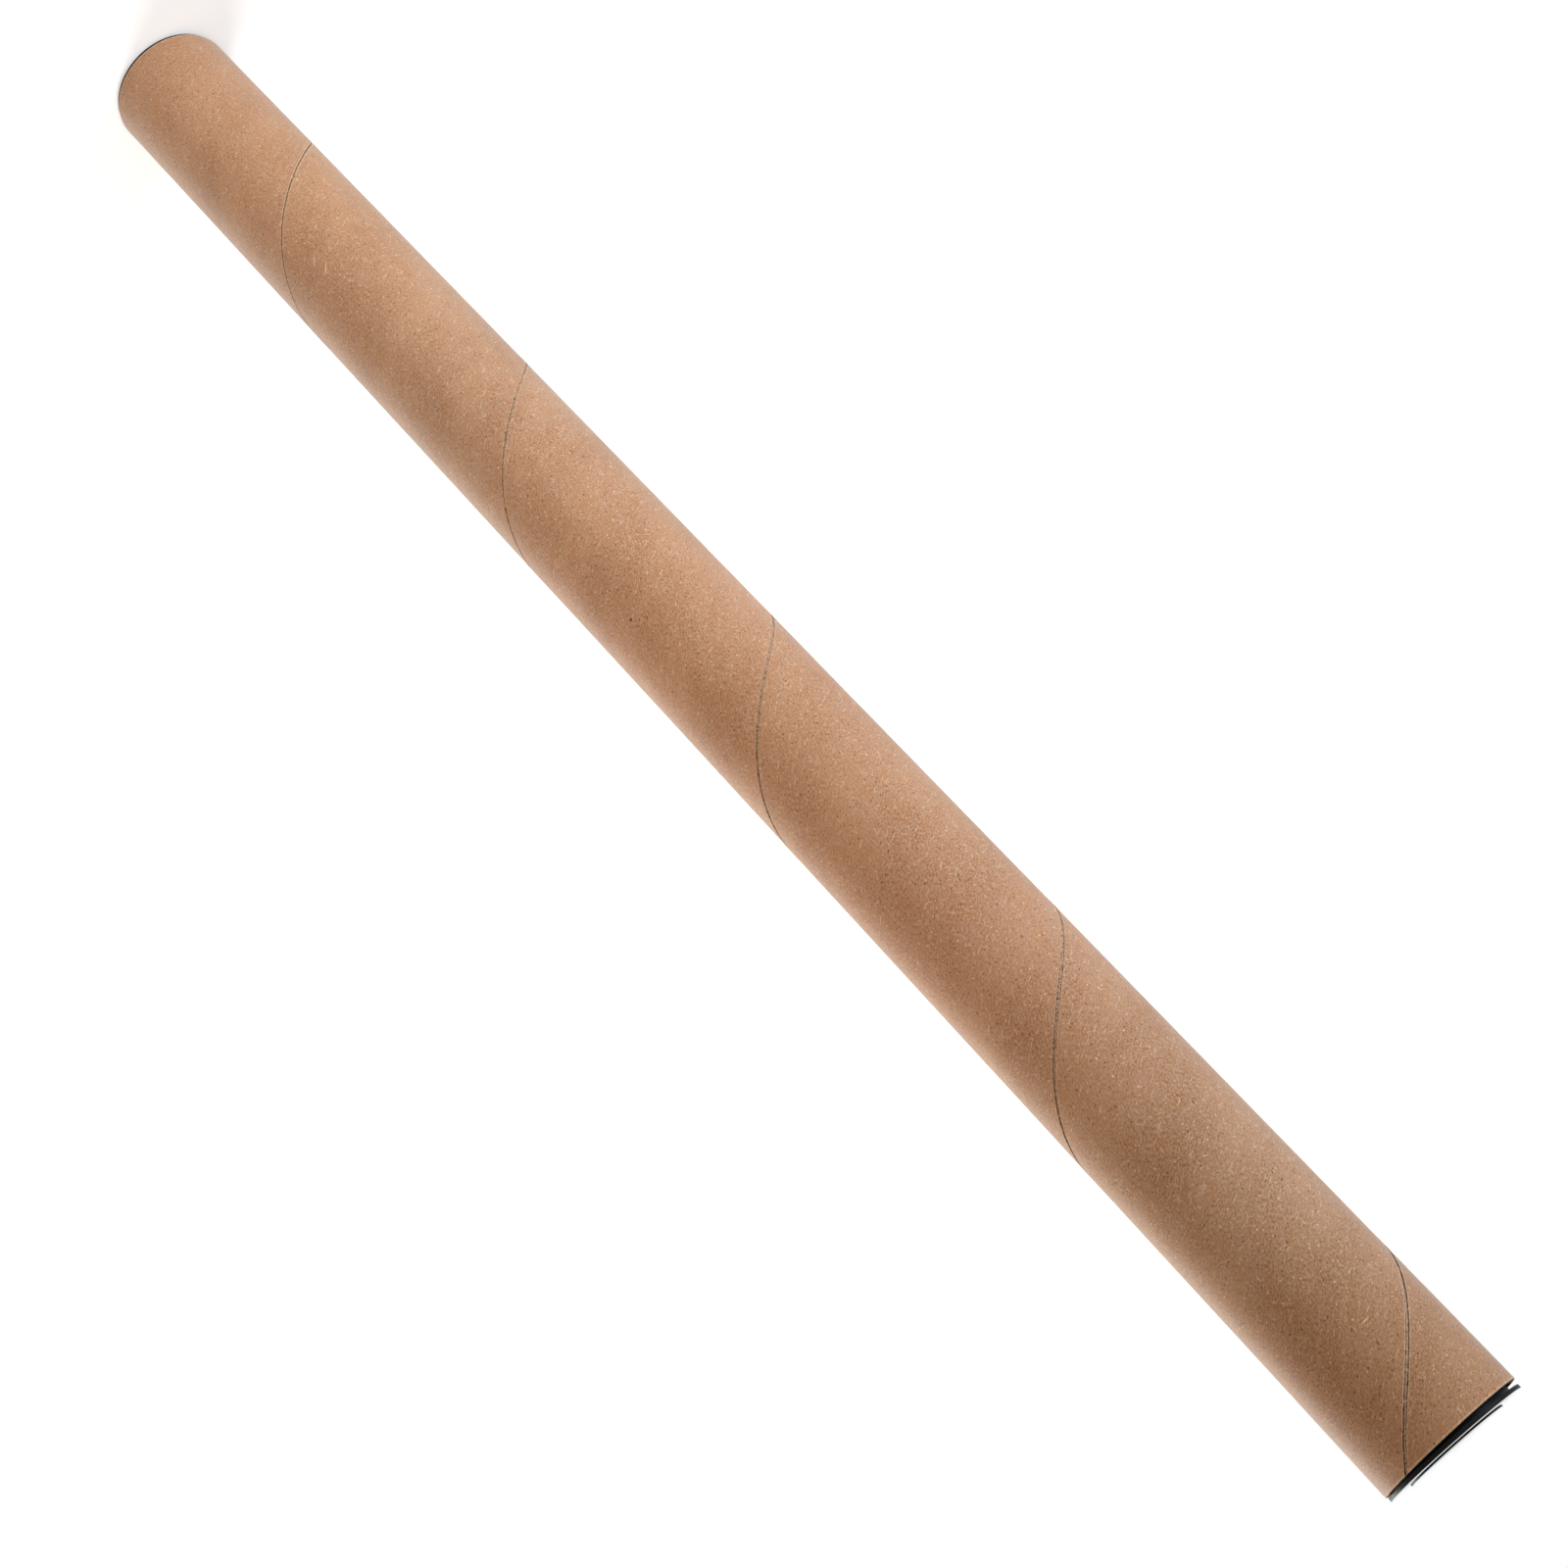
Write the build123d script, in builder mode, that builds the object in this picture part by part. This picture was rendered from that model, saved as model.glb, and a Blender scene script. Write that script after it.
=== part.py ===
from build123d import *
from math import radians, tan
import os

os.makedirs("parts", exist_ok=True)

# A mailing tube: a spirally wound board tube, closed at each end by a moulded push-in plug.
# It stands on its lower plug. Millimetres and degrees, +Z up the tube, with the origin at the
# middle of the lower plug's resting face.

# Board tube
bore_diameter = 40.0
wall_thickness = 1.5
tube_length = 600.0

# Winding. The edges of each ply meet in one butt seam, a right-handed helix from end to end.
seam_pitch = 124.0
seam_width = 1.0
outer_ply = 0.4
inner_ply = 0.4
outer_seam_angle = -51.0
inner_seam_stagger = 140.0
seam_overrun = 4.0

# Flange of an end plug, with its raised middle panel
flange_inset = 0.45
flange_thickness = 1.1
flange_chamfer = 0.35
panel_diameter = 29.5
panel_rise = 0.45
panel_chamfer = 0.25

# Skirt of an end plug, hollow and open towards the tube
skirt_depth = 14.0
skirt_wall = 1.1
skirt_gap = 1.4

# Grip ribs outside the skirt, which fill the bore as a push fit
rib_count = 12
rib_width = 1.3
rib_start = 1.8
rib_clearance = 0.1
rib_draft = 1.8
rib_lead_in = 2.0

# How the plugs sit: the lower one is home, the upper one stands a little proud and askew
upper_plug_gap = 0.88
upper_plug_lean = 1.45

bore_radius = bore_diameter / 2
outer_radius = bore_radius + wall_thickness
lower_end = flange_thickness + panel_rise
upper_end = lower_end + tube_length

flange_radius = outer_radius - flange_inset
panel_radius = panel_diameter / 2
skirt_radius = bore_radius - skirt_gap
rib_radius = bore_radius - rib_clearance


def helix_start(angle_at_upper_end):
    """Plane below the tube where a seam starts, turned so that it ends at this angle."""
    climbed = 360 * (tube_length + seam_overrun) / seam_pitch
    start = Plane.XY.offset(lower_end - seam_overrun)
    return start.rotated((0, 0, angle_at_upper_end - climbed))


def end_plug(seat):
    """Plug whose flange shoulder lies on the seat plane, with its skirt on the far side."""
    section_plane = Plane(seat.origin, x_dir=seat.x_dir, z_dir=-seat.y_dir)
    plug_axis = Axis(seat.origin, seat.z_dir)
    tip = skirt_depth - rib_lead_in
    rib_tip_radius = rib_radius - (tip - rib_start) * tan(radians(rib_draft))

    with BuildPart() as plug:
        # Flange, raised panel and skirt in one turned section
        with BuildSketch(section_plane) as section:
            with BuildLine():
                Polyline(
                    (0, 0),
                    (skirt_radius - skirt_wall, 0),
                    (skirt_radius - skirt_wall, -skirt_depth),
                    (skirt_radius, -skirt_depth),
                    (skirt_radius, 0),
                    (flange_radius, 0),
                    (flange_radius, flange_thickness),
                    (panel_radius, flange_thickness),
                    (panel_radius, flange_thickness + panel_rise),
                    (0, flange_thickness + panel_rise),
                    close=True,
                )
            make_face()
            edge_breaks = [
                ((flange_radius, flange_thickness), flange_chamfer),
                ((panel_radius, flange_thickness + panel_rise), panel_chamfer),
            ]
            for corner, size in edge_breaks:
                chamfer(section.vertices().sort_by_distance(corner)[0], size)
        revolve(axis=plug_axis)

        # Grip ribs, from inside the skirt's wall out to the bore
        rib_root = skirt_radius - skirt_wall / 2
        with BuildSketch(seat.offset(-rib_start)):
            with PolarLocations((rib_root + bore_radius) / 2, rib_count):
                Rectangle(bore_radius - rib_root, rib_width)
        extrude(amount=rib_start - tip)

        # Draft of the ribs, so that the plug starts easily in the bore
        with BuildSketch(section_plane):
            with BuildLine():
                Polyline(
                    (rib_radius, -rib_start),
                    (rib_tip_radius, -tip),
                    (outer_radius, -tip),
                    (outer_radius, -rib_start),
                    close=True,
                )
            make_face()
        revolve(axis=plug_axis, mode=Mode.SUBTRACT)
    return plug.part


# Board tube with its two seams
with BuildPart() as tube:
    with BuildSketch(Plane.XY.offset(lower_end)):
        Circle(outer_radius)
        Circle(bore_radius, mode=Mode.SUBTRACT)
    extrude(amount=tube_length)

    seams = [
        (outer_radius, outer_ply, outer_seam_angle),
        (bore_radius, inner_ply, outer_seam_angle + inner_seam_stagger),
    ]
    for seam_radius, ply, angle in seams:
        start = helix_start(angle)
        with BuildLine(start) as seam:
            Helix(seam_pitch, tube_length + 2 * seam_overrun, seam_radius)
        across = Plane(seam.line @ 0, x_dir=start.x_dir, z_dir=seam.line % 0)
        with BuildSketch(across):
            Rectangle(2 * ply, seam_width)
        sweep(path=seam.line, is_frenet=True, mode=Mode.SUBTRACT)

tube.part.label = "tube"
export_step(tube.part, "parts/tube.step")

# Lower plug, home against the board
lower_plug = end_plug(Plane((0, 0, lower_end), x_dir=(1, 0, 0), z_dir=(0, 0, -1)))
lower_plug.label = "lower_plug"
export_step(lower_plug, "parts/lower_plug.step")

# Upper plug, proud of the board and leaning
upper_seat = Plane.XY.offset(upper_end + upper_plug_gap).rotated((0, upper_plug_lean, 0))
upper_plug = end_plug(upper_seat)
upper_plug.label = "upper_plug"
export_step(upper_plug, "parts/upper_plug.step")
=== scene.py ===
"""Mailing tube: a spirally wound kraft board tube with a black moulded plug in each end.

Metres, +Z up the tube, with the origin under the middle of the lower plug. The tube's wall and
the two plugs are modelled here in full and stand for the frame's three nodes.
"""
from math import atan2, ceil, cos, floor, hypot, pi, radians, sin, tan

import bpy
from mathutils import Matrix, Vector


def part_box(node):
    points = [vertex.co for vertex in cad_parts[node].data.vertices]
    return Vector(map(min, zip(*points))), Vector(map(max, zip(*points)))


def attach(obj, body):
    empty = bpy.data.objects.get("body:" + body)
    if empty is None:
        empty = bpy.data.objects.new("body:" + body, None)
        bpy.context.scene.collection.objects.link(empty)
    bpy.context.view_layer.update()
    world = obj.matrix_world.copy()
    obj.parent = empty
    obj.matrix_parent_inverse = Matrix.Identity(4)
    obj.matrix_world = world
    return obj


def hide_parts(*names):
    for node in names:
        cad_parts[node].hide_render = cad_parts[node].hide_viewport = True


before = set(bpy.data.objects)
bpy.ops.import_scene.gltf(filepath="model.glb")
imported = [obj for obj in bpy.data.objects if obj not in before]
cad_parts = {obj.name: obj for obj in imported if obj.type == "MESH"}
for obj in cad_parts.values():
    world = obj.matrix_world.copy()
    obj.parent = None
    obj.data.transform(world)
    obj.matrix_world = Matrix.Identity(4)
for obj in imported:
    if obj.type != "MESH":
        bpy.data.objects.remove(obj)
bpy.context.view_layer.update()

MM = 0.001

# Vertices nearer to each other than MERGE are made one; LEVEL is near enough to an end's height,
# and CUT_TOLERANCE to the plane of a cut
MERGE = 0.002 * MM
LEVEL = 0.01 * MM
CUT_TOLERANCE = 0.001 * MM

# Faces that meet at less than these angles are shaded as one
SMOOTH_BOARD = radians(30)
SMOOTH_PLUG = radians(35)

# Board tube
tube_low, tube_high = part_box("tube")
OUTER_RADIUS = tube_high.x
BORE_RADIUS = 20.0 * MM
LOWER_END = tube_low.z
UPPER_END = tube_high.z

# Winding: each ply is a strip whose edges meet in one right-handed seam
SEAM_PITCH = 124.0 * MM
SEAM_ANGLE = radians(-51)
INNER_SEAM_ANGLE = SEAM_ANGLE + radians(140)
SEAM_WIDTH = 1.0 * MM
PLY = 0.4 * MM
LIP_RISE = 0.05 * MM
LIP_REACH = 1.2 * MM
STEPS_OUTSIDE = 360
STEPS_INSIDE = 180
WINDING_MARGIN = 4.0 * MM
CUT_EDGE = 0.15 * MM
FLATS_OUTSIDE = 6
FLATS_INSIDE = 4

# The outer seam is frayed, and it closes up towards the lower end
FRAY_SIZE = 1.1 * MM
FRAY_DEPTH = 0.42 * MM
CLOSING_START = 220.0 * MM
CLOSING_LENGTH = 260.0 * MM
CLOSING = 0.27 * MM

# End plug, measured from the shoulder that lies on the board
FLANGE_RADIUS = OUTER_RADIUS - 0.45 * MM
FLANGE_THICKNESS = 1.1 * MM
PLUG_ROUNDING = 0.15 * MM
ROUNDED_FROM = radians(40)
PANEL_RADIUS = 14.75 * MM
PANEL_RISE = 0.45 * MM
SKIRT_RADIUS = BORE_RADIUS - 1.4 * MM
SKIRT_WALL = 1.1 * MM
SKIRT_DEPTH = 14.0 * MM
PLUG_STEPS = 144

# Grip ribs round the skirt
RIB_COUNT = 12
RIB_WIDTH = 1.3 * MM
RIB_START = 1.8 * MM
RIB_END = 12.0 * MM
RIB_RADIUS = BORE_RADIUS - 0.1 * MM
RIB_DRAFT = radians(1.8)
RIB_ROUNDING = 0.2 * MM

# The upper plug stands a little proud and askew
UPPER_PLUG_GAP = 0.88 * MM
UPPER_PLUG_LEAN = radians(1.45)

# Camera, from the tube's outline and seam in the 1600 by 1600 frame
FRAME_PX = 1600
FOCAL_PX = 2413.97
SENSOR = 36.0
EYE = Vector((0, -618.67 * MM, UPPER_END + 27.87 * MM))
EYE_AZIMUTH = radians(0.91)
EYE_DROP = radians(24.11)
EYE_ROLL = radians(136.96)


# Steps of the modelling that repeat

def deselect():
    bpy.ops.object.select_all(action="DESELECT")


def activate(piece):
    deselect()
    piece.select_set(True)
    bpy.context.view_layer.objects.active = piece


def edit(piece):
    """Enters edit mode with all of a piece selected."""
    activate(piece)
    bpy.ops.object.mode_set(mode="EDIT")
    bpy.ops.mesh.select_all(action="SELECT")


def leave_edit():
    bpy.ops.object.mode_set(mode="OBJECT")


def apply_modifier(piece, kind, **settings):
    modifier = piece.modifiers.new(kind.lower(), kind)
    for name, value in settings.items():
        setattr(modifier, name, value)
    activate(piece)
    bpy.ops.object.modifier_apply(modifier=modifier.name)


def settle(piece):
    """Moves a piece's place, turn and size into its mesh."""
    activate(piece)
    bpy.ops.object.transform_apply(location=True, rotation=True, scale=True)


def join(first, others):
    """Makes the other pieces part of the first one."""
    activate(first)
    for piece in others:
        piece.select_set(True)
    bpy.ops.object.join()


def drawn_section(name, points):
    """A line of edges in the XZ plane through these (x, z) points, drawn by extruding one vertex."""
    deselect()
    bpy.ops.mesh.primitive_plane_add(size=MM)
    section = bpy.context.object
    section.name = name
    section.data.name = name
    bpy.ops.object.mode_set(mode="EDIT")
    bpy.ops.mesh.merge(type="CENTER")
    bpy.ops.transform.translate(value=(points[0][0], 0, points[0][1]))
    for (x, z), (next_x, next_z) in zip(points, points[1:]):
        bpy.ops.mesh.extrude_region_move(
            TRANSFORM_OT_translate={"value": (next_x - x, 0, next_z - z)}
        )
    leave_edit()
    return section


def wind(section, steps, pitch=0, turns=1):
    """Turns a section round the Z axis, with a climb of one pitch in each turn."""
    apply_modifier(
        section,
        "SCREW",
        axis="Z",
        angle=2 * pi,
        screw_offset=pitch,
        iterations=turns,
        steps=steps,
        render_steps=steps,
    )


def edit_vertices(piece, wanted):
    """Enters edit mode with the vertices selected for which wanted(place) is true."""
    for polygon in piece.data.polygons:
        polygon.select = False
    for edge in piece.data.edges:
        edge.select = False
    for vertex in piece.data.vertices:
        vertex.select = wanted(vertex.co)
    activate(piece)
    bpy.ops.object.mode_set(mode="EDIT")


# The board tube, wound from its plies

def ply_section(radius, ply, flats):
    """One pitch of a ply's face, from the middle of its seam up to the middle of the next turn's.

    A positive ply is cut into the wall from outside, a negative one from the bore. The points of
    the seam's lower side are shares of the ply, of the gap's half width and of the lip.
    """
    # Along the tube, the section is as much wider as the seam is steep
    steep = hypot(2 * pi * radius, SEAM_PITCH) / (2 * pi * radius)
    half = SEAM_WIDTH / 2 * steep
    rise = LIP_RISE if ply > 0 else -LIP_RISE
    face = radius - rise
    lower = [
        (radius - 0.6 * ply, 0),
        (radius - 0.9 * ply, 0.75 * half),
        (radius - 0.3 * rise, half),
        (radius, half + 0.12 * LIP_REACH * steep),
        (radius - 0.35 * rise, half + 0.4 * LIP_REACH * steep),
        (face, half + LIP_REACH * steep),
    ]
    upper = [(r, SEAM_PITCH - z) for r, z in reversed(lower)]
    start = lower[-1][1]
    step = (SEAM_PITCH - 2 * start) / flats
    middle = [(face, start + step * n) for n in range(1, flats)]
    return lower + middle + upper


def across_seam(place, radius, seam_angle):
    """Distance of a place from the middle of its nearest seam, square to it, positive above it."""
    angle = atan2(place.y, place.x) - seam_angle
    above = place.z - UPPER_END - SEAM_PITCH * angle / (2 * pi)
    above -= SEAM_PITCH * round(above / SEAM_PITCH)
    return above * 2 * pi * radius / hypot(2 * pi * radius, SEAM_PITCH)


def strip_width(radius):
    return SEAM_PITCH * 2 * pi * radius / hypot(2 * pi * radius, SEAM_PITCH)


def strip_place(place, radius, seam_angle, turn_of=None):
    """Place on the wound strip, in metres: along it, and across it from its lower edge.

    turn_of is a place near by whose turn counts, so that a face isn't torn at the strip's edge.
    """
    leader = turn_of or place
    angle = atan2(leader.y, leader.x) - seam_angle
    turn = floor((leader.z - UPPER_END) / SEAM_PITCH - angle / (2 * pi))
    off = atan2(place.y, place.x) - seam_angle - angle
    off = (off + pi) % (2 * pi) - pi
    round_it = radius * (angle + off + 2 * pi * turn)
    height = place.z - UPPER_END
    turn_length = hypot(2 * pi * radius, SEAM_PITCH)
    level = 2 * pi * radius / turn_length
    climb = SEAM_PITCH / turn_length
    return level * round_it + climb * height, level * height - climb * round_it


def strip_map(wall, radius, seam_angle):
    """UV map in metres, with u along the wound strip and v across it."""
    mesh = wall.data
    layer = mesh.uv_layers.new(name="strip")
    for polygon in mesh.polygons:
        for corner in polygon.loop_indices:
            place = mesh.vertices[mesh.loops[corner].vertex_index].co
            layer.data[corner].uv = strip_place(place, radius, seam_angle, polygon.center)


def lip_group(wall, name, radius, seam_angle, side, share):
    """Vertex group of the seam's lip above it (side 1) or below it (side -1).

    Its weight is share(place) at the seam and fades to nothing over the lip's reach.
    """
    group = wall.vertex_groups.new(name=name)
    for vertex in wall.data.vertices:
        out = side * across_seam(vertex.co, radius, seam_angle)
        near = min(out / (0.3 * SEAM_WIDTH), (SEAM_WIDTH / 2 + LIP_REACH - out) / LIP_REACH, 1)
        weight = max(near, 0) * share(vertex.co)
        if weight > 0:
            group.add([vertex.index], weight, "REPLACE")
    return group.name


def fray_seam(wall, radius, seam_angle):
    """Frays both lips of a ply's seam and draws them together towards the tube's lower end."""

    def everywhere(place):
        return 1

    def low_down(place):
        return min(max((UPPER_END - place.z - CLOSING_START) / CLOSING_LENGTH, 0), 1)

    clouds = bpy.data.textures.new("fray", "CLOUDS")
    clouds.noise_scale = FRAY_SIZE
    clouds.noise_depth = 2
    for lip, side in (("upper_lip", 1), ("lower_lip", -1)):
        frayed = lip_group(wall, lip + "_fray", radius, seam_angle, side, everywhere)
        closed = lip_group(wall, lip + "_closing", radius, seam_angle, side, low_down)
        apply_modifier(
            wall,
            "DISPLACE",
            vertex_group=frayed,
            direction="Z",
            texture=clouds,
            texture_coords="LOCAL",
            mid_level=0.5,
            strength=FRAY_DEPTH,
        )
        apply_modifier(
            wall,
            "DISPLACE",
            vertex_group=closed,
            direction="Z",
            mid_level=0,
            strength=-side * CLOSING,
        )


def wound_ply(name, radius, seam_angle, ply, steps, flats):
    """A ply's face wound up from its section, past both ends of the tube."""
    start = LOWER_END - SEAM_PITCH - WINDING_MARGIN
    turns = ceil((UPPER_END + WINDING_MARGIN - start) / SEAM_PITCH)
    wall = drawn_section(name, ply_section(radius, ply, flats))
    wind(wall, steps, SEAM_PITCH, turns)
    wall.rotation_euler.z = seam_angle + 2 * pi * (start - UPPER_END) / SEAM_PITCH
    wall.location.z = start
    settle(wall)
    edit(wall)
    bpy.ops.mesh.remove_doubles(threshold=MERGE)
    leave_edit()
    strip_map(wall, radius, seam_angle)
    return wall


def cut_to_length(wall):
    """Cuts a wound wall square at the two ends, short of them by the edge that is broken."""
    edit(wall)
    for height, above in ((LOWER_END + CUT_EDGE, False), (UPPER_END - CUT_EDGE, True)):
        bpy.ops.mesh.select_all(action="SELECT")
        bpy.ops.mesh.bisect(
            plane_co=(0, 0, height),
            plane_no=(0, 0, 1),
            clear_inner=not above,
            clear_outer=above,
            threshold=CUT_TOLERANCE,
        )
    leave_edit()


def broken_edge(wall, radius, change):
    """Draws a wall's two open ends on to the tube's ends, with this change of radius there."""
    share = (radius + change) / radius
    for height, rise in ((LOWER_END + CUT_EDGE, -CUT_EDGE), (UPPER_END - CUT_EDGE, CUT_EDGE)):
        edit_vertices(wall, lambda place: abs(place.z - height) < LEVEL)
        bpy.ops.mesh.extrude_region_move(TRANSFORM_OT_translate={"value": (0, 0, rise)})
        bpy.ops.transform.resize(value=(share, share, 1), center_override=(0, 0, height + rise))
        leave_edit()


def board_tube():
    """The wall: its outer and inner plies wound, cut to length and closed by a ring at each end."""
    outer_seam = (OUTER_RADIUS, SEAM_ANGLE)
    outside = wound_ply("board_tube", *outer_seam, PLY, STEPS_OUTSIDE, FLATS_OUTSIDE)
    fray_seam(outside, *outer_seam)
    cut_to_length(outside)
    broken_edge(outside, OUTER_RADIUS, -CUT_EDGE)

    inner_seam = (BORE_RADIUS, INNER_SEAM_ANGLE)
    inside = wound_ply("bore_face", *inner_seam, -PLY, STEPS_INSIDE, FLATS_INSIDE)
    cut_to_length(inside)
    broken_edge(inside, BORE_RADIUS, CUT_EDGE)
    join(outside, [inside])
    for height in (LOWER_END, UPPER_END):
        edit_vertices(outside, lambda place: abs(place.z - height) < LEVEL)
        bpy.ops.mesh.fill(use_beauty=True)
        leave_edit()
    edit(outside)
    bpy.ops.mesh.normals_make_consistent(inside=False)
    leave_edit()
    return outside


tube = board_tube()
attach(tube, "tube")
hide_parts("tube")


# The end plugs

def plug_section():
    """Turned section of a plug, from the middle of its panel round the flange to the web inside."""
    return [
        (0, FLANGE_THICKNESS + PANEL_RISE),
        (PANEL_RADIUS, FLANGE_THICKNESS + PANEL_RISE),
        (PANEL_RADIUS, FLANGE_THICKNESS),
        (FLANGE_RADIUS, FLANGE_THICKNESS),
        (FLANGE_RADIUS, 0),
        (SKIRT_RADIUS, 0),
        (SKIRT_RADIUS, -SKIRT_DEPTH),
        (SKIRT_RADIUS - SKIRT_WALL, -SKIRT_DEPTH),
        (SKIRT_RADIUS - SKIRT_WALL, 0),
        (0, 0),
    ]


def grip_rib():
    """One rib on the +X side, drafted on its outer face, with its root inside the skirt's wall."""
    root = SKIRT_RADIUS - SKIRT_WALL / 2
    deselect()
    bpy.ops.mesh.primitive_cube_add(size=1)
    rib = bpy.context.object
    rib.name = "grip_rib"
    rib.scale = (RIB_RADIUS - root, RIB_WIDTH, RIB_END - RIB_START)
    middle = -(RIB_START + RIB_END) / 2
    rib.location = ((RIB_RADIUS + root) / 2, 0, middle)
    settle(rib)
    edit_vertices(rib, lambda place: place.x > SKIRT_RADIUS and place.z < middle)
    draft = (RIB_END - RIB_START) * tan(RIB_DRAFT)
    bpy.ops.transform.translate(value=(-draft, 0, 0))
    leave_edit()
    apply_modifier(rib, "BEVEL", width=RIB_ROUNDING, segments=3)
    return rib


def turned_copy(piece, angle):
    """A copy of a piece with its own mesh, turned about the Z axis."""
    copy = piece.copy()
    copy.data = piece.data.copy()
    bpy.context.collection.objects.link(copy)
    copy.rotation_euler.z = angle
    settle(copy)
    return copy


def end_plug(name):
    """A plug with its shoulder on the XY plane, its flange above and its skirt below."""
    plug = drawn_section(name, plug_section())
    wind(plug, PLUG_STEPS)
    edit(plug)
    bpy.ops.mesh.remove_doubles(threshold=MERGE)
    bpy.ops.mesh.normals_make_consistent(inside=False)
    leave_edit()
    apply_modifier(
        plug,
        "BEVEL",
        width=PLUG_ROUNDING,
        segments=4,
        limit_method="ANGLE",
        angle_limit=ROUNDED_FROM,
    )
    rib = grip_rib()
    others = [turned_copy(rib, 2 * pi * number / RIB_COUNT) for number in range(1, RIB_COUNT)]
    join(rib, others)
    apply_modifier(plug, "BOOLEAN", operation="UNION", solver="EXACT", object=rib)
    bpy.data.objects.remove(rib)
    return plug


def seat_plug(plug, matrix, body):
    """Moves a plug's mesh from the XY plane to its end of the tube, where it rides on its body."""
    plug.data.transform(matrix)
    activate(plug)
    bpy.ops.object.shade_smooth_by_angle(angle=SMOOTH_PLUG)
    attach(plug, body)
    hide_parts(body)


upper_plug = end_plug("end_plug_upper")
lower_plug = turned_copy(upper_plug, 0)
lower_plug.name = "end_plug_lower"
upper_seat = Matrix.Translation((0, 0, UPPER_END + UPPER_PLUG_GAP))
seat_plug(upper_plug, upper_seat @ Matrix.Rotation(UPPER_PLUG_LEAN, 4, "Y"), "upper_plug")
lower_seat = Matrix.Translation((0, 0, LOWER_END))
seat_plug(lower_plug, lower_seat @ Matrix.Rotation(pi, 4, "X"), "lower_plug")


# Shader nodes, and the effects that the materials share

def add_node(tree, kind, inputs=None, **settings):
    """A shader node with these settings, whose inputs are linked to sockets or set to values."""
    node = tree.nodes.new("ShaderNode" + kind)
    for name, value in settings.items():
        setattr(node, name, value)
    for key, value in (inputs or {}).items():
        if isinstance(value, bpy.types.NodeSocket):
            tree.links.new(value, node.inputs[key])
        else:
            node.inputs[key].default_value = value
    return node


def maths(tree, operation, *values):
    return add_node(tree, "Math", dict(enumerate(values)), operation=operation).outputs[0]


def ramp(tree, value, start, end, low=0.0, high=1.0):
    """Value eased from low at start to high at end."""
    eased = add_node(
        tree,
        "MapRange",
        {"Value": value, "From Min": start, "From Max": end, "To Min": low, "To Max": high},
        interpolation_type="SMOOTHSTEP",
    )
    return eased.outputs["Result"]


def tinted(tree, share, under, over, blend="MIX"):
    """Colour under, covered by colour over, or multiplied by it, where share is 1."""
    mixed = add_node(tree, "Mix", {"Factor": share}, data_type="RGBA", blend_type=blend)
    for name, value in (("A", under), ("B", over)):
        socket = next(s for s in mixed.inputs if s.name == name and s.type == "RGBA")
        if isinstance(value, bpy.types.NodeSocket):
            tree.links.new(value, socket)
        else:
            socket.default_value = (*value, 1)
    return next(s for s in mixed.outputs if s.type == "RGBA")


def shaded(colour, share):
    return tuple(share * part for part in colour)


def object_place(tree):
    return add_node(tree, "TexCoord").outputs["Object"]


def effect(name, inputs, outputs):
    """An empty node group with these sockets, and its input and output nodes."""
    group = bpy.data.node_groups.new(name, "ShaderNodeTree")
    for label, kind, value in inputs:
        socket = group.interface.new_socket(label, in_out="INPUT", socket_type=kind)
        if value is not None:
            socket.default_value = value
    for label, kind in outputs:
        group.interface.new_socket(label, in_out="OUTPUT", socket_type=kind)
    given = group.nodes.new("NodeGroupInput").outputs
    result = group.nodes.new("NodeGroupOutput").inputs
    return group, given, result


VECTOR = "NodeSocketVector"
NUMBER = "NodeSocketFloat"


def spread_out(tree, vector, length, width):
    """Coordinates in which a spot of this length and width is one unit across."""
    scale = add_node(
        tree,
        "CombineXYZ",
        {"X": maths(tree, "DIVIDE", 1.0, length), "Y": maths(tree, "DIVIDE", 1.0, width)},
    )
    spread = add_node(tree, "VectorMath", {0: vector, 1: scale.outputs[0]}, operation="MULTIPLY")
    return spread.outputs[0]


def turned_spot(tree, vector, given):
    """Spread out coordinates, turned first, of a spot with a given angle, length and width."""
    turned = add_node(
        tree,
        "VectorRotate",
        {"Vector": vector, "Angle": given["Angle"]},
        rotation_type="Z_AXIS",
    )
    return spread_out(tree, turned.outputs[0], given["Length"], given["Width"])


def random_cells(tree, vector):
    """Distance from the nearest point of a random grid, and that point's three random numbers."""
    cells = add_node(tree, "TexVoronoi", {"Vector": vector, "Scale": 1.0}, voronoi_dimensions="2D")
    draws = add_node(tree, "SeparateColor", {"Color": cells.outputs["Color"]}).outputs
    return cells.outputs["Distance"], draws


def solid_noise(tree, vector, scale, detail):
    """Noise through the whole of a piece."""
    noise = add_node(tree, "TexNoise", {"Vector": vector, "Scale": scale, "Detail": detail})
    return noise.outputs["Fac"]


def flat_noise(tree, vector, scale, detail=2.0, roughness=0.5):
    """Noise on a wound strip, by its coordinates along and across it."""
    noise = add_node(
        tree,
        "TexNoise",
        {"Vector": vector, "Scale": scale, "Detail": detail, "Roughness": roughness},
        noise_dimensions="2D",
    )
    return noise.outputs["Fac"]


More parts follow.
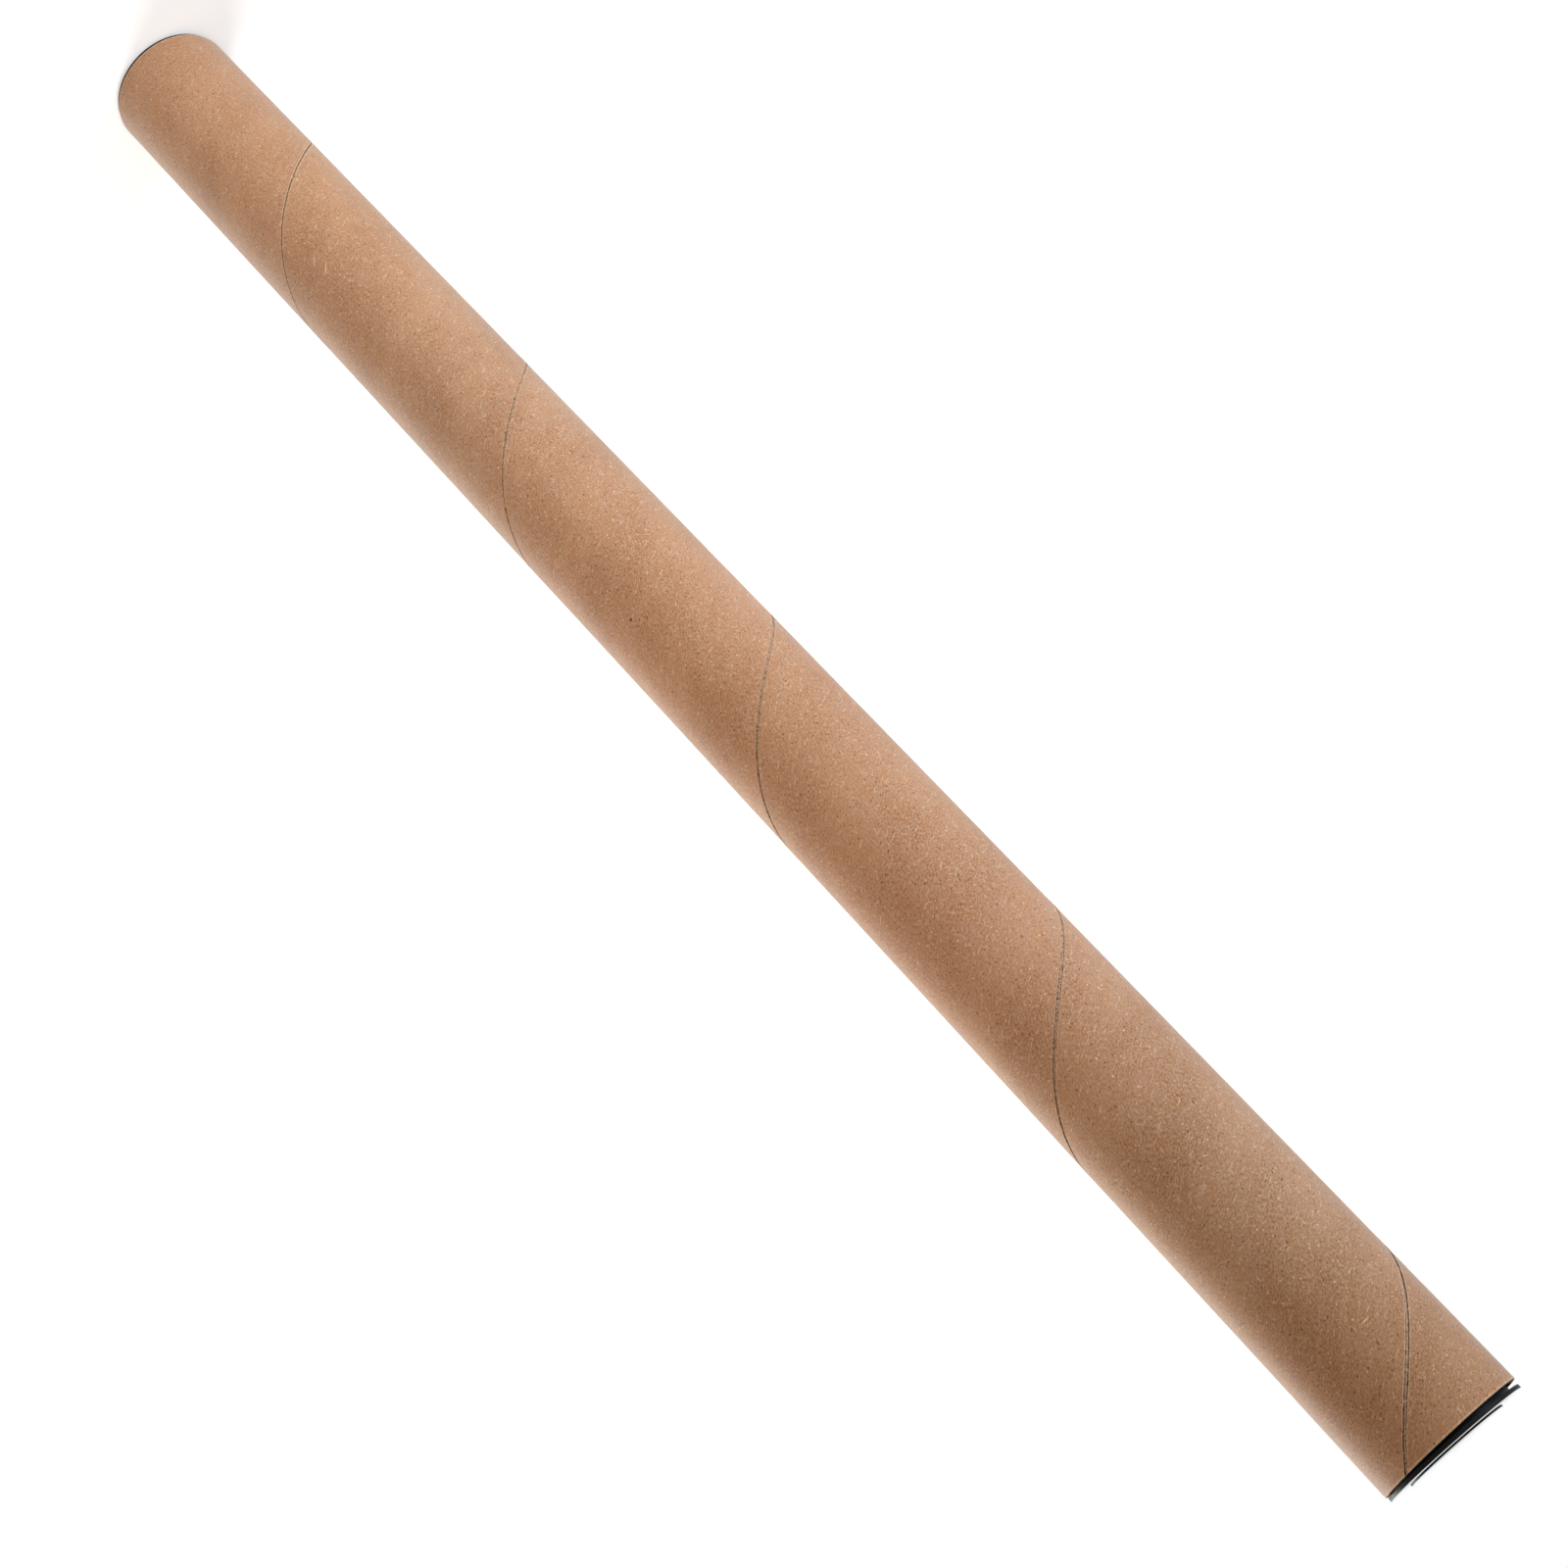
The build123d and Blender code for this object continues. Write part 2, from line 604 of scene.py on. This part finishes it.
def mottle_effect():
    """Paper tone round 0.5: fine grain drawn out along X, faint blotches and broad clouds.

    The blotches are put out too, from 0 for dark to 1 for light, for changes of hue.
    """
    group, given, result = effect(
        "paper_mottle",
        [("Vector", VECTOR, None), ("Grain", NUMBER, 0.4 * MM), ("Stretch", NUMBER, 1.6)],
        [("Tone", NUMBER), ("Clouds", NUMBER), ("Blotches", NUMBER)],
    )
    length = maths(group, "MULTIPLY", given["Grain"], given["Stretch"])
    spread = spread_out(group, given["Vector"], length, given["Grain"])
    clouds = flat_noise(group, spread, scale=0.022)
    blotches = flat_noise(group, spread, scale=0.13, detail=3.0, roughness=0.65)
    grain = flat_noise(group, spread, scale=1.0, roughness=0.7)
    tone = maths(group, "MULTIPLY_ADD", clouds, 0.4, -0.2)
    tone = maths(group, "MULTIPLY_ADD", blotches, 0.4, tone)
    tone = maths(group, "MULTIPLY_ADD", grain, 1.9, tone)
    group.links.new(maths(group, "SUBTRACT", tone, 0.65), result["Tone"])
    group.links.new(clouds, result["Clouds"])
    group.links.new(blotches, result["Blotches"])
    return group


def fleck_effect():
    """Small light and dark flecks, one in some of the cells of a random grid."""
    group, given, result = effect(
        "paper_flecks",
        [
            ("Vector", VECTOR, None),
            ("Size", NUMBER, 0.5 * MM),
            ("Light Share", NUMBER, 0.06),
            ("Dark Share", NUMBER, 0.06),
        ],
        [("Light", NUMBER), ("Dark", NUMBER)],
    )
    length = maths(group, "MULTIPLY", given["Size"], 1.35)
    spread = spread_out(group, given["Vector"], length, given["Size"])
    away, draw = random_cells(group, spread)
    reach = maths(group, "MULTIPLY_ADD", draw[2], 0.22, 0.2)
    body = ramp(group, away, reach, maths(group, "MULTIPLY", reach, 0.4))
    strength = maths(group, "MULTIPLY", body, maths(group, "MULTIPLY_ADD", draw[1], 0.75, 0.25))
    light = maths(group, "LESS_THAN", draw[0], given["Light Share"])
    dark = maths(group, "GREATER_THAN", draw[0], maths(group, "SUBTRACT", 1.0, given["Dark Share"]))
    group.links.new(maths(group, "MULTIPLY", strength, light), result["Light"])
    group.links.new(maths(group, "MULTIPLY", strength, dark), result["Dark"])
    return group


def fibre_effect():
    """Sparse long thin spots at one angle: one in some of the cells of a stretched random grid."""
    group, given, result = effect(
        "scattered_fibres",
        [
            ("Vector", VECTOR, None),
            ("Angle", NUMBER, 0.0),
            ("Length", NUMBER, 3.0 * MM),
            ("Width", NUMBER, 0.15 * MM),
            ("Share", NUMBER, 0.05),
        ],
        [("Mask", NUMBER)],
    )
    away, draw = random_cells(group, turned_spot(group, given["Vector"], given))
    chosen = maths(group, "LESS_THAN", draw[0], given["Share"])
    body = ramp(group, away, 0.45, 0.15)
    strength = maths(group, "MULTIPLY_ADD", draw[1], 0.7, 0.3)
    mask = maths(group, "MULTIPLY", maths(group, "MULTIPLY", body, chosen), strength)
    group.links.new(mask, result["Mask"])
    return group


def mark_effect():
    """One soft spot of a given length and width at a place, such as a scratch or a dot."""
    group, given, result = effect(
        "single_mark",
        [
            ("Vector", VECTOR, None),
            ("Place", VECTOR, None),
            ("Angle", NUMBER, 0.0),
            ("Length", NUMBER, 1.0 * MM),
            ("Width", NUMBER, 1.0 * MM),
        ],
        [("Mask", NUMBER)],
    )
    off = add_node(
        group, "VectorMath", {0: given["Vector"], 1: given["Place"]}, operation="SUBTRACT"
    )
    spread = turned_spot(group, off.outputs[0], given)
    away = add_node(group, "VectorMath", {0: spread}, operation="LENGTH").outputs["Value"]
    group.links.new(ramp(group, away, 0.62, 0.3), result["Mask"])
    return group


paper_mottle = mottle_effect()
paper_flecks = fleck_effect()
scattered_fibres = fibre_effect()
single_mark = mark_effect()


def use_effect(tree, group, **values):
    """Outputs of a group node whose inputs are linked or set by name, an underscore for a space."""
    node = tree.nodes.new("ShaderNodeGroup")
    node.node_tree = group
    for name, value in values.items():
        socket = node.inputs[name.replace("_", " ")]
        if isinstance(value, bpy.types.NodeSocket):
            tree.links.new(value, socket)
        else:
            socket.default_value = value
    return node.outputs


def new_material(name, colour, roughness, **settings):
    """A material with an empty tree round one Principled shader, and that shader.

    The settings are sockets of the shader by name, with an underscore for a space.
    """
    material = bpy.data.materials.new(name)
    material.use_nodes = True
    material.diffuse_color = (*colour, 1)
    tree = material.node_tree
    tree.nodes.clear()
    surface = add_node(tree, "BsdfPrincipled", {"Roughness": roughness})
    for setting, value in settings.items():
        surface.inputs[setting.replace("_", " ")].default_value = value
    output = add_node(tree, "OutputMaterial")
    tree.links.new(surface.outputs[0], output.inputs["Surface"])
    return material, tree, surface


def raise_grain(tree, surface, height, strength, depth):
    """Bump of a surface by this height, as a depth in metres."""
    bump = add_node(tree, "Bump", {"Height": height, "Strength": strength, "Distance": depth})
    tree.links.new(bump.outputs[0], surface.inputs["Normal"])


# The materials

# Paper of the outer ply, and two tints that multiply it
KRAFT = (0.458, 0.249, 0.130)
KRAFT_DARK = (0.298, 0.137, 0.058)
KRAFT_LIGHT = (0.618, 0.359, 0.204)
KRAFT_CLOUD = (0.477, 0.267, 0.145)
COOL = (0.978, 1.0, 1.047)
WARM = (1.022, 1.0, 0.955)

# What lies on the board or in it
PALE_FIBRE = (0.90, 0.66, 0.42)
DARK_FLECK = (0.12, 0.050, 0.024)
BARK = (0.10, 0.038, 0.017)
SPECK = (0.035, 0.016, 0.010)
GREY_SMUDGE = (0.34, 0.25, 0.19)

# Board that shows in the seam, in the bore and at the cut ends
GAP_PLY = (0.50, 0.299, 0.178)
# Dark glue at the foot of the seam's walls, together with painted shade there
GLUE_AND_SHADE = (0.123, 0.061, 0.036)
BORE_PLY = (0.38, 0.195, 0.105)
TORN_DARK = (0.30, 0.155, 0.085)
TORN_LIGHT = (0.66, 0.42, 0.26)
HALF_GLUE_SPACING = 0.19 * MM

# Plastic of the plugs
BLACK = (0.0065, 0.006, 0.007)
DULL_BLACK = (0.014, 0.013, 0.013)
DUST = (0.25, 0.19, 0.14)
DULLING = 0.12
POLISHED_COAT = {"IOR": 1.25, "Coat_Weight": 1.0, "Coat_Roughness": 0.03, "Coat_IOR": 1.25}

# A face looks out along the tube if at least this share of its normal does
FACES_OUT = 0.98

PAPER_SHEEN = {
    "Specular_IOR_Level": 0.08,
    "Sheen_Weight": 0.5,
    "Sheen_Roughness": 0.5,
}

# The seam's lips are paler, and the glue and painted shade at the foot of its walls thicker, up
# to the first distance from an end; that fades out by the second
ENDS_REACH = 60 * MM
ENDS_FADE = 160 * MM

# Pale fibres in the paper: angle to the strip, length, width, share of the grid's cells, cover
FIBRES = [
    (radians(12), 4.0 * MM, 0.22 * MM, 0.035, 0.8),
    (radians(-38), 2.8 * MM, 0.20 * MM, 0.030, 0.75),
    (radians(70), 2.2 * MM, 0.20 * MM, 0.025, 0.7),
]

# Broad soft patches that multiply the outer ply's colour: painted shade at the front of the upper
# end, a painted pool of warm light further down that front, and a warmer tint near the lower end.
# Angle round the tube, depth below the upper end, reach, change of colour
SHADE_LIGHT_AND_TINT_PATCHES = [
    # Painted shade at the front of the upper end
    (-50, 6, 66, (0.90, 0.83, 0.74)),
    # Painted pool of warm light further down the front
    (-66, 240, 200, (1.11, 1.05, 1.02)),
    # Warmer and a little darker near the lower end
    (-50, 580, 190, (1.0, 0.94, 0.87)),
]

# Single marks on the outer ply: angle round the tube, depth below the upper end, direction on the
# strip, length, width, colour, cover
MARKS = [
    (-165.4, 471.0, 0, 5.0, 2.6, GREY_SMUDGE, 0.55),
    (-63.9, 311.8, 20, 1.1, 0.9, SPECK, 0.95),
    (-45.8, 287.3, 50, 0.8, 0.6, SPECK, 0.8),
    (-114.0, 517.3, 0, 1.5, 1.0, SPECK, 0.8),
    (-112.6, 517.9, 0, 0.9, 0.7, PALE_FIBRE, 0.8),
    (-79.0, 480.0, 4, 4.2, 0.5, PALE_FIBRE, 0.7),
    (-76.0, 485.5, 8, 3.4, 0.45, PALE_FIBRE, 0.6),
    (-102.6, 31.5, -40, 2.6, 0.28, PALE_FIBRE, 0.9),
    (-92.6, 123.1, 0, 0.6, 0.5, PALE_FIBRE, 0.9),
    (-88.9, 125.4, 30, 0.5, 0.4, PALE_FIBRE, 0.8),
    (-55.2, 23.8, 60, 1.6, 0.25, PALE_FIBRE, 0.6),
    (-57.5, 22.6, -10, 1.2, 0.25, PALE_FIBRE, 0.5),
]


def strip_coordinates(tree):
    return add_node(tree, "UVMap", uv_map="strip").outputs["UV"]


def swayed(tree, strip, reach):
    """Strip coordinates pushed about by up to this reach, which bends the fibres drawn on them."""
    waves = add_node(
        tree,
        "TexNoise",
        {"Vector": strip, "Scale": 420.0, "Detail": 1.0},
        noise_dimensions="2D",
    )
    sway = add_node(
        tree, "VectorMath", {0: waves.outputs["Color"], 1: (0.5, 0.5, 0.5)}, operation="SUBTRACT"
    )
    sway = add_node(tree, "VectorMath", {0: sway.outputs[0], "Scale": 2 * reach}, operation="SCALE")
    return add_node(tree, "VectorMath", {0: strip, 1: sway.outputs[0]}, operation="ADD").outputs[0]


def paper(tree, strip, dark, light, cloud, fibres):
    """Colour of a ply: fine mottle between two tones, with clouds, flecks and pale fibres."""
    mottle = use_effect(tree, paper_mottle, Vector=strip, Grain=0.45 * MM, Stretch=1.9)
    colour = tinted(tree, mottle["Tone"], dark, light)
    colour = tinted(tree, ramp(tree, mottle["Clouds"], 0.4, 0.75, high=0.25), colour, cloud)
    hue = tinted(tree, ramp(tree, mottle["Blotches"], 0.3, 0.7), WARM, COOL)
    colour = tinted(tree, 1.0, colour, hue, blend="MULTIPLY")
    flecks = use_effect(
        tree, paper_flecks, Vector=strip, Size=0.8 * MM, Light_Share=0.09, Dark_Share=0.12
    )
    colour = tinted(tree, maths(tree, "MULTIPLY", flecks["Light"], 0.7), colour, PALE_FIBRE)
    colour = tinted(tree, maths(tree, "MULTIPLY", flecks["Dark"], 0.85), colour, DARK_FLECK)
    bark = use_effect(
        tree, paper_flecks, Vector=strip, Size=0.9 * MM, Light_Share=0.0, Dark_Share=0.06
    )["Dark"]
    colour = tinted(tree, ramp(tree, bark, 0.3, 0.6, high=0.7), colour, BARK)
    bent = swayed(tree, strip, 0.35 * MM)
    for angle, length, width, share, cover in fibres:
        mask = use_effect(
            tree,
            scattered_fibres,
            Vector=bent,
            Angle=angle,
            Length=length,
            Width=width,
            Share=share,
        )["Mask"]
        colour = tinted(tree, maths(tree, "MULTIPLY", mask, cover), colour, PALE_FIBRE)
    return colour


def seam_distance(tree, strip):
    """Distance from the middle of the outer seam, square to it."""
    across = add_node(tree, "SeparateXYZ", {"Vector": strip}).outputs["Y"]
    return maths(tree, "PINGPONG", across, strip_width(OUTER_RADIUS) / 2)


def end_distance(tree):
    """Distance along the tube from its nearer end."""
    height = add_node(tree, "SeparateXYZ", {"Vector": object_place(tree)}).outputs["Z"]
    from_lower = maths(tree, "SUBTRACT", height, LOWER_END)
    from_upper = maths(tree, "SUBTRACT", UPPER_END, height)
    return maths(tree, "MINIMUM", from_lower, from_upper)


def near_ends(tree):
    """1 by the tube's ends, fading to 0 further along it."""
    return ramp(tree, end_distance(tree), ENDS_FADE, ENDS_REACH)


def outer_place(angle, depth):
    """Place on the tube's outside at this angle round it, in degrees, and depth below its top."""
    turn = radians(angle)
    return Vector((OUTER_RADIUS * cos(turn), OUTER_RADIUS * sin(turn), UPPER_END - depth * MM))


def kraft_face():
    """The wound tube's outer ply, frayed along the seam and rubbed pale at the ends, with broad
    patches of painted shade and painted light.
    """
    material, tree, surface = new_material("kraft_face", KRAFT, roughness=0.6, **PAPER_SHEEN)
    strip = strip_coordinates(tree)
    colour = paper(tree, strip, KRAFT_DARK, KRAFT_LIGHT, KRAFT_CLOUD, FIBRES)

    # Torn edges of the paper: a thin pale line on the seam's lips and at the two ends
    torn = flat_noise(tree, strip, scale=1500.0, detail=3.0, roughness=0.6)
    from_seam = maths(tree, "MULTIPLY_ADD", torn, 0.7 * MM, seam_distance(tree, strip))
    cover = maths(tree, "MULTIPLY_ADD", near_ends(tree), 0.4, 0.2)
    lip = ramp(tree, from_seam, 1.15 * MM, 0.9 * MM, high=cover)
    colour = tinted(tree, lip, colour, PALE_FIBRE)
    from_end = maths(tree, "MULTIPLY_ADD", torn, 0.9 * MM, end_distance(tree))
    rim = ramp(tree, from_end, 1.1 * MM, 0.7 * MM, high=0.55)
    colour = tinted(tree, rim, colour, PALE_FIBRE)

    # Soft patches that multiply the colour: painted shade, a painted pool of light and a warmer tint
    for angle, depth, reach, change in SHADE_LIGHT_AND_TINT_PATCHES:
        away = add_node(
            tree,
            "VectorMath",
            {0: object_place(tree), 1: outer_place(angle, depth)},
            operation="DISTANCE",
        )
        near = ramp(tree, away.outputs["Value"], reach * MM, 0.3 * reach * MM)
        colour = tinted(tree, near, colour, change, blend="MULTIPLY")

    for angle, depth, direction, length, width, tint, cover in MARKS:
        place = outer_place(angle, depth)
        mask = use_effect(
            tree,
            single_mark,
            Vector=strip,
            Place=(*strip_place(place, OUTER_RADIUS, SEAM_ANGLE), 0),
            Angle=radians(-direction),
            Length=length * MM,
            Width=width * MM,
        )["Mask"]
        colour = tinted(tree, maths(tree, "MULTIPLY", mask, cover), colour, tint)
    tree.links.new(colour, surface.inputs["Base Color"])
    skin = flat_noise(tree, strip, scale=2400.0)
    raise_grain(tree, surface, skin, strength=0.3, depth=0.06 * MM)
    return material


def gap_floor():
    """The next ply, seen in the seam's gap: greyer, with dark glue and painted shade at the foot of
    both sides.

    The glue and the painted shade are thickest by the tube's ends.
    """
    material, tree, surface = new_material("gap_floor", GAP_PLY, roughness=0.85)
    strip = strip_coordinates(tree)
    colour = paper(tree, strip, shaded(GAP_PLY, 0.7), shaded(GAP_PLY, 1.3), GAP_PLY, FIBRES)
    ragged = flat_noise(tree, strip, scale=1800.0, roughness=0.7)
    off = maths(tree, "MULTIPLY_ADD", ragged, 0.3 * MM, seam_distance(tree, strip))
    cover = maths(tree, "MULTIPLY_ADD", near_ends(tree), 0.7, 0.2)
    # Dark glue at the foot of both walls of the gap, together with painted shade where the walls
    # shade it
    glue = ramp(tree, off, 0.28 * MM, 0.46 * MM, high=cover)
    colour = tinted(tree, glue, colour, GLUE_AND_SHADE)
    crumbs = flat_noise(tree, strip, scale=1500.0, detail=1.0)
    colour = tinted(tree, ramp(tree, crumbs, 0.59, 0.67, high=0.8), colour, SPECK)
    crossing = use_effect(
        tree,
        scattered_fibres,
        Vector=strip,
        Angle=radians(75),
        Length=1.6 * MM,
        Width=0.3 * MM,
        Share=0.22,
    )["Mask"]
    colour = tinted(tree, maths(tree, "MULTIPLY", crossing, 0.85), colour, PALE_FIBRE)
    tree.links.new(colour, surface.inputs["Base Color"])
    raise_grain(tree, surface, ragged, strength=0.5, depth=0.08 * MM)
    return material


def bore_face():
    """The innermost ply, in the bore: plainer and duller than the outer one."""
    material, tree, surface = new_material("bore_face", BORE_PLY, roughness=0.85)
    strip = strip_coordinates(tree)
    dark = shaded(BORE_PLY, 0.72)
    light = shaded(BORE_PLY, 1.28)
    colour = paper(tree, strip, dark, light, BORE_PLY, FIBRES[:2])
    tree.links.new(colour, surface.inputs["Base Color"])
    skin = flat_noise(tree, strip, scale=2000.0)
    raise_grain(tree, surface, skin, strength=0.35, depth=0.07 * MM)
    return material


def cut_edge_face():
    """Board cut across its plies: pale torn fibre between thin dark lines of glue."""
    material, tree, surface = new_material("cut_edge", KRAFT, roughness=0.9)
    place = object_place(tree)
    flat = add_node(tree, "VectorMath", {0: place, 1: (1, 1, 0)}, operation="MULTIPLY")
    radius = add_node(tree, "VectorMath", {0: flat.outputs[0]}, operation="LENGTH")
    ragged = solid_noise(tree, place, scale=1800.0, detail=3.0)
    depth = maths(tree, "SUBTRACT", OUTER_RADIUS, radius.outputs["Value"])
    depth = maths(tree, "MULTIPLY_ADD", ragged, 0.12 * MM, depth)
    from_glue = maths(tree, "PINGPONG", depth, HALF_GLUE_SPACING)
    line = ramp(tree, from_glue, 0.05 * MM, 0.01 * MM, high=0.6)
    fibre = solid_noise(tree, place, scale=3200.0, detail=3.0)
    torn = tinted(tree, ramp(tree, fibre, 0.3, 0.7), TORN_DARK, TORN_LIGHT)
    tree.links.new(tinted(tree, line, torn, DARK_FLECK), surface.inputs["Base Color"])
    height = maths(tree, "SUBTRACT", fibre, line)
    raise_grain(tree, surface, height, strength=0.6, depth=0.1 * MM)
    return material


def black_plastic(name, roughness, grain, **settings):
    """Moulded black plastic: a skin with a fine grain, dulled here and there by handling."""
    material, tree, surface = new_material(name, BLACK, roughness, **settings)
    place = object_place(tree)
    handled = solid_noise(tree, place, scale=160.0, detail=4.0)
    dull = ramp(tree, handled, 0.45, 0.75)
    dust = use_effect(
        tree, paper_flecks, Vector=place, Size=0.6 * MM, Light_Share=0.03, Dark_Share=0.0
    )["Light"]
    colour = tinted(tree, maths(tree, "MULTIPLY", dull, 0.5), BLACK, DULL_BLACK)
    colour = tinted(tree, maths(tree, "MULTIPLY", dust, 0.25), colour, DUST)
    tree.links.new(colour, surface.inputs["Base Color"])
    dulled = maths(tree, "MULTIPLY_ADD", dull, DULLING, roughness)
    tree.links.new(dulled, surface.inputs["Roughness"])
    skin = solid_noise(tree, place, scale=1500.0, detail=2.0)
    raise_grain(tree, surface, skin, strength=grain, depth=0.05 * MM)
    return material


def finish_tube():
    """Gives each face of the tube the material of what it is cut from."""
    for material in (kraft_face(), gap_floor(), bore_face(), cut_edge_face()):
        tube.data.materials.append(material)
    outer, gap, bore, edge = range(4)
    middle = (OUTER_RADIUS + BORE_RADIUS) / 2
    for polygon in tube.data.polygons:
        out = hypot(polygon.center.x, polygon.center.y)
        height = polygon.center.z
        if min(height - LOWER_END, UPPER_END - height) < CUT_EDGE:
            polygon.material_index = edge
        elif out > OUTER_RADIUS - 2 * LIP_RISE:
            polygon.material_index = outer
        elif out > middle:
            polygon.material_index = gap
        else:
            polygon.material_index = bore
    activate(tube)
    bpy.ops.object.shade_smooth_by_angle(angle=SMOOTH_BOARD)


def finish_plugs():
    """Polishes the faces that look out along the tube, and leaves the rest of the plugs satin."""
    satin = black_plastic("satin_plastic", roughness=0.42, grain=0.12, Specular_IOR_Level=0.06)
    polished = black_plastic("polished_plastic", roughness=0.05, grain=0.02, **POLISHED_COAT)
    for plug, outward in ((upper_plug, 1), (lower_plug, -1)):
        plug.data.materials.append(satin)
        plug.data.materials.append(polished)
        for polygon in plug.data.polygons:
            polygon.material_index = int(outward * polygon.normal.z > FACES_OUT)


finish_tube()
finish_plugs()


# The floor, the surround, the lamps and the camera

# Floor: glows to the camera, from a low strength near the tube to a higher one far off
FLOOR_SIZE = 12.0
FLOOR_DROP = 0.02 * MM
FLOOR_COLOUR = (0.82, 0.82, 0.82)
FLOOR_LIFT = 0.4
FAR_FLOOR_LIFT = 0.85
FLOOR_FADE = (0.1, 1.1)

# Surround: its light on the tube, while the camera sees it white
WORLD_LIGHT = 0.3
WORLD_TINT = (1.12, 0.96, 0.84)

# Lamps: azimuth, distance, height, size, share of a plain level of light on the tube, colour
LAMP_AIM = Vector((0, 0, 0.2))
LAMPS = {
    "left_lamp": (-160, 1.2, 0.4, 0.6, 0.64, (0.83, 1, 1.22)),
    "low_front_lamp": (-115, 0.4, 0.08, 0.2, 0.325, (1.03, 1, 0.95)),
    "right_lamp": (40, 0.8, 0.7, 0.5, 0.8, (0.95, 1, 1)),
    "front_lamp": (-25, 0.4, 0.35, 0.25, 0.13, (1.22, 1, 0.76)),
}


def seen_directly(tree):
    """1 for rays from the camera and for those seen in or through gloss, else 0."""
    path = add_node(tree, "LightPath").outputs
    seen = maths(tree, "MAXIMUM", path["Is Camera Ray"], path["Is Glossy Ray"])
    return maths(tree, "MAXIMUM", seen, path["Is Transmission Ray"])


def pale_floor():
    """The floor, a hair below the plug that stands on it, and clear to a camera under it."""
    deselect()
    bpy.ops.mesh.primitive_plane_add(size=FLOOR_SIZE, location=(0, 0, -FLOOR_DROP))
    ground = bpy.context.object
    ground.name = "floor"
    material, tree, surface = new_material(
        "pale_floor",
        FLOOR_COLOUR,
        roughness=0.9,
        Base_Color=(*FLOOR_COLOUR, 1),
        Specular_IOR_Level=0.1,
        Emission_Color=(1, 1, 1, 1),
    )
    away = add_node(tree, "VectorMath", {0: object_place(tree)}, operation="LENGTH")
    lift = ramp(tree, away.outputs["Value"], *FLOOR_FADE, FLOOR_LIFT, FAR_FLOOR_LIFT)
    lift = maths(tree, "MULTIPLY", seen_directly(tree), lift)
    tree.links.new(lift, surface.inputs["Emission Strength"])
    below = add_node(tree, "NewGeometry").outputs["Backfacing"]
    from_camera = add_node(tree, "LightPath").outputs["Is Camera Ray"]
    clear = add_node(tree, "BsdfTransparent")
    mixed = add_node(tree, "MixShader", {"Fac": maths(tree, "MULTIPLY", below, from_camera)})
    output = surface.outputs[0].links[0].to_node
    tree.links.new(surface.outputs[0], mixed.inputs[1])
    tree.links.new(clear.outputs[0], mixed.inputs[2])
    tree.links.new(mixed.outputs[0], output.inputs["Surface"])
    ground.data.materials.append(material)


def white_world():
    """A surround that lights the tube softly and that the camera sees as white."""
    world = bpy.data.worlds.new("white_surround")
    bpy.context.scene.world = world
    world.use_nodes = True
    tree = world.node_tree
    tree.nodes.clear()
    seen = seen_directly(tree)
    strength = maths(tree, "MULTIPLY_ADD", seen, 1 - WORLD_LIGHT, WORLD_LIGHT)
    colour = tinted(tree, seen, WORLD_TINT, (1, 1, 1))
    background = add_node(tree, "Background", {"Color": colour, "Strength": strength})
    output = add_node(tree, "OutputWorld")
    tree.links.new(background.outputs[0], output.inputs["Surface"])


def soft_lamp(name, azimuth, distance, height, size, share, colour):
    """A square lamp aimed at the tube, where it adds this share of a plain level of light."""
    light = bpy.data.lights.new(name, "AREA")
    light.color = colour
    light.size = size
    turn = radians(azimuth)
    place = Vector((distance * cos(turn), distance * sin(turn), height))
    way = LAMP_AIM - place
    # With this power, a white face turned to the lamp is as bright as the share
    light.energy = share * pi ** 2 * way.length_squared
    lamp = bpy.data.objects.new(name, light)
    bpy.context.scene.collection.objects.link(lamp)
    lamp.location = place
    lamp.rotation_euler = way.to_track_quat("-Z", "Y").to_euler()
    lamp.visible_camera = False


def photograph_camera():
    """The camera at the photograph's place, which looks down the tube with its frame rolled."""
    data = bpy.data.cameras.new("camera")
    data.sensor_width = SENSOR
    data.lens = SENSOR * FOCAL_PX / FRAME_PX
    data.clip_start = 0.01
    camera = bpy.data.objects.new("camera", data)
    bpy.context.scene.collection.objects.link(camera)
    turn = Matrix.Rotation(-EYE_AZIMUTH, 4, "Z")
    tilt = Matrix.Rotation(pi / 2 - EYE_DROP, 4, "X")
    roll = Matrix.Rotation(EYE_ROLL, 4, "Z")
    camera.matrix_world = Matrix.Translation(EYE) @ turn @ tilt @ roll
    bpy.context.scene.camera = camera


pale_floor()
white_world()
for lamp_name, settings in LAMPS.items():
    soft_lamp(lamp_name, *settings)
photograph_camera()
bpy.context.scene.view_settings.view_transform = "Standard"
